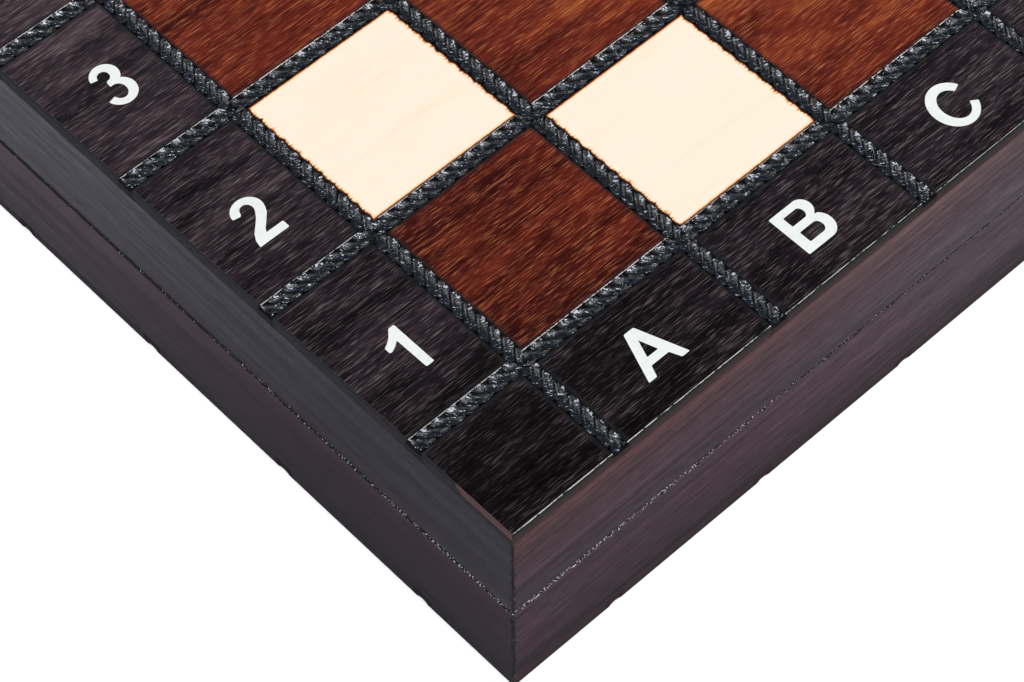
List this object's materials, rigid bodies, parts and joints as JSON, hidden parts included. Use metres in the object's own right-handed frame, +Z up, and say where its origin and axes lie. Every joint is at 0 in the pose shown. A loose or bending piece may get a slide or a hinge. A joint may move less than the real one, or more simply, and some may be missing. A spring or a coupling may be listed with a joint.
{
  "type": "folding chess set",
  "caption": "Folding wooden chess case, closed: the board on its outer faces, two hinged trays, a hook latch and turned men stored inside.",
  "frame": {"origin": "middle of the face that the closed case rests on", "axes": "+X along the files from A to H, +Y from the front with the latch to the hinges, +Z up"},
  "size_m": [0.298, 0.153, 0.0432],
  "materials": {
    "board_plywood": "stained and scorched, satin varnish",
    "rail_wood": "dark stain, satin varnish",
    "lining_felt": "pressed felt",
    "divider_wood": "sanded birch",
    "brass": "polished, slightly dulled",
    "light_men_wood": "turned, lacquered",
    "dark_men_wood": "turned, stained and lacquered"
  },
  "bodies": {
    "lower_half": {"lower_board_panel": "board_plywood", "lower_front_rail": "rail_wood", "lower_back_rail": "rail_wood", "lower_left_rail": "rail_wood", "lower_right_rail": "rail_wood", "lower_lining": "lining_felt", "lower_hinge_screws": "brass", "cross_dividers": "divider_wood", "middle_divider": "divider_wood", "pawn_row_dividers": "divider_wood", "left_hinge_lower_leaf": "brass", "left_hinge_pin": "brass", "right_hinge_lower_leaf": "brass", "right_hinge_pin": "brass", "latch_pivot_screw": "brass"},
    "upper_half": {"upper_board_panel": "board_plywood", "upper_front_rail": "rail_wood", "upper_back_rail": "rail_wood", "upper_left_rail": "rail_wood", "upper_right_rail": "rail_wood", "upper_lining": "lining_felt", "left_hinge_upper_leaf": "brass", "right_hinge_upper_leaf": "brass", "upper_hinge_screws": "brass", "latch_stud": "brass"},
    "hook": {"latch_hook": "brass"},
    "light_rook_1": {"light_rook_1": "light_men_wood"},
    "light_knight_1": {"light_knight_1": "light_men_wood"},
    "light_bishop_1": {"light_bishop_1": "light_men_wood"},
    "light_queen": {"light_queen": "light_men_wood"},
    "light_king": {"light_king": "light_men_wood"},
    "light_bishop_2": {"light_bishop_2": "light_men_wood"},
    "light_knight_2": {"light_knight_2": "light_men_wood"},
    "light_rook_2": {"light_rook_2": "light_men_wood"},
    "light_pawn_1": {"light_pawn_1": "light_men_wood"},
    "light_pawn_2": {"light_pawn_2": "light_men_wood"},
    "light_pawn_3": {"light_pawn_3": "light_men_wood"},
    "light_pawn_4": {"light_pawn_4": "light_men_wood"},
    "light_pawn_5": {"light_pawn_5": "light_men_wood"},
    "light_pawn_6": {"light_pawn_6": "light_men_wood"},
    "light_pawn_7": {"light_pawn_7": "light_men_wood"},
    "light_pawn_8": {"light_pawn_8": "light_men_wood"},
    "dark_rook_1": {"dark_rook_1": "dark_men_wood"},
    "dark_knight_1": {"dark_knight_1": "dark_men_wood"},
    "dark_bishop_1": {"dark_bishop_1": "dark_men_wood"},
    "dark_queen": {"dark_queen": "dark_men_wood"},
    "dark_king": {"dark_king": "dark_men_wood"},
    "dark_bishop_2": {"dark_bishop_2": "dark_men_wood"},
    "dark_knight_2": {"dark_knight_2": "dark_men_wood"},
    "dark_rook_2": {"dark_rook_2": "dark_men_wood"},
    "dark_pawn_1": {"dark_pawn_1": "dark_men_wood"},
    "dark_pawn_2": {"dark_pawn_2": "dark_men_wood"},
    "dark_pawn_3": {"dark_pawn_3": "dark_men_wood"},
    "dark_pawn_4": {"dark_pawn_4": "dark_men_wood"},
    "dark_pawn_5": {"dark_pawn_5": "dark_men_wood"},
    "dark_pawn_6": {"dark_pawn_6": "dark_men_wood"},
    "dark_pawn_7": {"dark_pawn_7": "dark_men_wood"},
    "dark_pawn_8": {"dark_pawn_8": "dark_men_wood"}
  },
  "joints": [
    {"name": "case_hinge", "type": "hinge", "parent": "lower_half", "child": "upper_half", "pos_m": [0, 0.0744, 0.0216], "axis": [-1, 0, 0], "range_deg": [0, 180]},
    {"name": "hook_turn", "type": "hinge", "parent": "lower_half", "child": "hook", "pos_m": [0, -0.07415, 0.0156], "axis": [0, 1, 0], "range_deg": [0, 180]},
    {"name": "light_rook_1_lift", "type": "slide", "parent": "lower_half", "child": "light_rook_1", "axis": [0, 0, 1], "range_m": [0, 0.012]},
    {"name": "light_knight_1_lift", "type": "slide", "parent": "lower_half", "child": "light_knight_1", "axis": [0, 0, 1], "range_m": [0, 0.012]},
    {"name": "light_bishop_1_lift", "type": "slide", "parent": "lower_half", "child": "light_bishop_1", "axis": [0, 0, 1], "range_m": [0, 0.012]},
    {"name": "light_queen_lift", "type": "slide", "parent": "lower_half", "child": "light_queen", "axis": [0, 0, 1], "range_m": [0, 0.012]},
    {"name": "light_king_lift", "type": "slide", "parent": "lower_half", "child": "light_king", "axis": [0, 0, 1], "range_m": [0, 0.012]},
    {"name": "light_bishop_2_lift", "type": "slide", "parent": "lower_half", "child": "light_bishop_2", "axis": [0, 0, 1], "range_m": [0, 0.012]},
    {"name": "light_knight_2_lift", "type": "slide", "parent": "lower_half", "child": "light_knight_2", "axis": [0, 0, 1], "range_m": [0, 0.012]},
    {"name": "light_rook_2_lift", "type": "slide", "parent": "lower_half", "child": "light_rook_2", "axis": [0, 0, 1], "range_m": [0, 0.012]},
    {"name": "light_pawn_1_lift", "type": "slide", "parent": "lower_half", "child": "light_pawn_1", "axis": [0, 0, 1], "range_m": [0, 0.012]},
    {"name": "light_pawn_2_lift", "type": "slide", "parent": "lower_half", "child": "light_pawn_2", "axis": [0, 0, 1], "range_m": [0, 0.012]},
    {"name": "light_pawn_3_lift", "type": "slide", "parent": "lower_half", "child": "light_pawn_3", "axis": [0, 0, 1], "range_m": [0, 0.012]},
    {"name": "light_pawn_4_lift", "type": "slide", "parent": "lower_half", "child": "light_pawn_4", "axis": [0, 0, 1], "range_m": [0, 0.012]},
    {"name": "light_pawn_5_lift", "type": "slide", "parent": "lower_half", "child": "light_pawn_5", "axis": [0, 0, 1], "range_m": [0, 0.012]},
    {"name": "light_pawn_6_lift", "type": "slide", "parent": "lower_half", "child": "light_pawn_6", "axis": [0, 0, 1], "range_m": [0, 0.012]},
    {"name": "light_pawn_7_lift", "type": "slide", "parent": "lower_half", "child": "light_pawn_7", "axis": [0, 0, 1], "range_m": [0, 0.012]},
    {"name": "light_pawn_8_lift", "type": "slide", "parent": "lower_half", "child": "light_pawn_8", "axis": [0, 0, 1], "range_m": [0, 0.012]},
    {"name": "dark_rook_1_lift", "type": "slide", "parent": "lower_half", "child": "dark_rook_1", "axis": [0, 0, 1], "range_m": [0, 0.012]},
    {"name": "dark_knight_1_lift", "type": "slide", "parent": "lower_half", "child": "dark_knight_1", "axis": [0, 0, 1], "range_m": [0, 0.012]},
    {"name": "dark_bishop_1_lift", "type": "slide", "parent": "lower_half", "child": "dark_bishop_1", "axis": [0, 0, 1], "range_m": [0, 0.012]},
    {"name": "dark_queen_lift", "type": "slide", "parent": "lower_half", "child": "dark_queen", "axis": [0, 0, 1], "range_m": [0, 0.012]},
    {"name": "dark_king_lift", "type": "slide", "parent": "lower_half", "child": "dark_king", "axis": [0, 0, 1], "range_m": [0, 0.012]},
    {"name": "dark_bishop_2_lift", "type": "slide", "parent": "lower_half", "child": "dark_bishop_2", "axis": [0, 0, 1], "range_m": [0, 0.012]},
    {"name": "dark_knight_2_lift", "type": "slide", "parent": "lower_half", "child": "dark_knight_2", "axis": [0, 0, 1], "range_m": [0, 0.012]},
    {"name": "dark_rook_2_lift", "type": "slide", "parent": "lower_half", "child": "dark_rook_2", "axis": [0, 0, 1], "range_m": [0, 0.012]},
    {"name": "dark_pawn_1_lift", "type": "slide", "parent": "lower_half", "child": "dark_pawn_1", "axis": [0, 0, 1], "range_m": [0, 0.012]},
    {"name": "dark_pawn_2_lift", "type": "slide", "parent": "lower_half", "child": "dark_pawn_2", "axis": [0, 0, 1], "range_m": [0, 0.012]},
    {"name": "dark_pawn_3_lift", "type": "slide", "parent": "lower_half", "child": "dark_pawn_3", "axis": [0, 0, 1], "range_m": [0, 0.012]},
    {"name": "dark_pawn_4_lift", "type": "slide", "parent": "lower_half", "child": "dark_pawn_4", "axis": [0, 0, 1], "range_m": [0, 0.012]},
    {"name": "dark_pawn_5_lift", "type": "slide", "parent": "lower_half", "child": "dark_pawn_5", "axis": [0, 0, 1], "range_m": [0, 0.012]},
    {"name": "dark_pawn_6_lift", "type": "slide", "parent": "lower_half", "child": "dark_pawn_6", "axis": [0, 0, 1], "range_m": [0, 0.012]},
    {"name": "dark_pawn_7_lift", "type": "slide", "parent": "lower_half", "child": "dark_pawn_7", "axis": [0, 0, 1], "range_m": [0, 0.012]},
    {"name": "dark_pawn_8_lift", "type": "slide", "parent": "lower_half", "child": "dark_pawn_8", "axis": [0, 0, 1], "range_m": [0, 0.012]}
  ]
}
